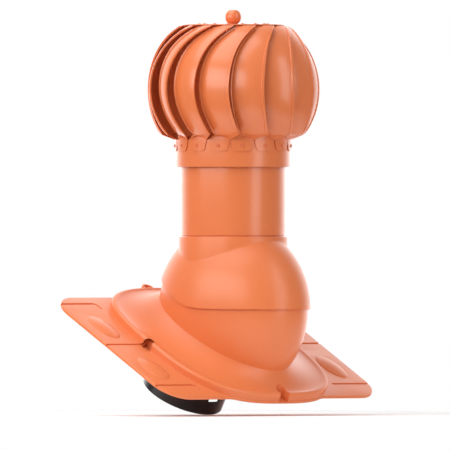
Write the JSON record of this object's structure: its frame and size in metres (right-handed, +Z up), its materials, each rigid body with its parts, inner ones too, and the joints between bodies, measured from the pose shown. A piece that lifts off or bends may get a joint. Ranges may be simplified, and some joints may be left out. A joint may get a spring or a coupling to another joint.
{
  "type": "rotating chimney cowl",
  "caption": "Roof cowl: pitched base plate with a raised seat, ball joint, upright pipe and a louvred globe turbine that the wind turns.",
  "frame": {"origin": "on the plane of the plate's underside, at the foot of the perpendicular from the ball joint's centre", "axes": "+Z up along the pipe, +X along the roof, +Y up the slope of a roof pitched at thirty degrees"},
  "size_m": [0.461, 0.3315, 0.6203],
  "materials": {
    "moulding": "satin terracotta plastic",
    "coated_metal": "satin terracotta coating",
    "black_plastic": "glossy black",
    "rivet": "satin coating",
    "steel": "plated"
  },
  "bodies": {
    "base": {"base_plate": "moulding", "duct_spigot": "black_plastic"},
    "upper": {"hood": "moulding", "pipe": "coated_metal", "bearing_bridge": "steel"},
    "turbine": {"turbine_ring": "coated_metal", "top_disc": "coated_metal", "top_knob": "coated_metal", "spindle": "steel", "blade_01": "coated_metal", "blade_02": "coated_metal", "blade_03": "coated_metal", "blade_04": "coated_metal", "blade_05": "coated_metal", "blade_06": "coated_metal", "blade_07": "coated_metal", "blade_08": "coated_metal", "blade_09": "coated_metal", "blade_10": "coated_metal", "blade_11": "coated_metal", "blade_12": "coated_metal", "blade_13": "coated_metal", "blade_14": "coated_metal", "blade_15": "coated_metal", "lower_rivet_01": "rivet", "lower_rivet_02": "rivet", "lower_rivet_03": "rivet", "lower_rivet_04": "rivet", "lower_rivet_05": "rivet", "lower_rivet_06": "rivet", "lower_rivet_07": "rivet", "lower_rivet_08": "rivet", "lower_rivet_09": "rivet", "lower_rivet_10": "rivet", "lower_rivet_11": "rivet", "lower_rivet_12": "rivet", "lower_rivet_13": "rivet", "lower_rivet_14": "rivet", "lower_rivet_15": "rivet", "upper_rivet_01": "rivet", "upper_rivet_02": "rivet", "upper_rivet_03": "rivet", "upper_rivet_04": "rivet", "upper_rivet_05": "rivet", "upper_rivet_06": "rivet", "upper_rivet_07": "rivet", "upper_rivet_08": "rivet", "upper_rivet_09": "rivet", "upper_rivet_10": "rivet", "upper_rivet_11": "rivet", "upper_rivet_12": "rivet", "upper_rivet_13": "rivet", "upper_rivet_14": "rivet", "upper_rivet_15": "rivet"}
  },
  "joints": [
    {"name": "hood_tilt", "type": "hinge", "parent": "base", "child": "upper", "pos_m": [0, -0.03525, 0.06105], "axis": [1, 0, 0], "range_deg": [-6, 6]},
    {"name": "turbine_spin", "type": "hinge", "parent": "upper", "child": "turbine", "pos_m": [0, -0.03525, 0.39865], "axis": [0, 0, 1], "continuous": true}
  ]
}
